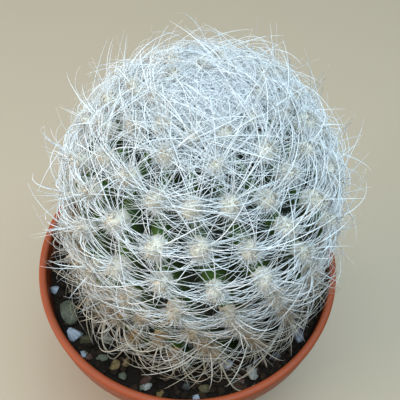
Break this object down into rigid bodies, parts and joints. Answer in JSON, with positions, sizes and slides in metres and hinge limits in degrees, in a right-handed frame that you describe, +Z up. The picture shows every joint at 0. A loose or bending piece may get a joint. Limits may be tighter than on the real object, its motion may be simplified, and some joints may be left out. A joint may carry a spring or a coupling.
{
  "type": "potted cactus",
  "caption": "Potted neoporteria: a round ribbed cactus in a dense coat of interlaced white spines on cream wool pads, in gritty soil in a tapered plastic nursery pot",
  "frame": {"origin": "the middle of the pot's underside, on the surface it stands on", "axes": "+Z up along the pot's axis, -Y the side that the picture looks at from above, +X to its right"},
  "size_m": [0.0672, 0.0653, 0.1165],
  "materials": {
    "pot": "satin",
    "soil": "rough",
    "stem": "satin",
    "spines": "satin"
  },
  "bodies": {
    "root": {"pot": "pot", "soil": "soil", "stem": "stem", "spines": "spines"}
  },
  "joints": []
}
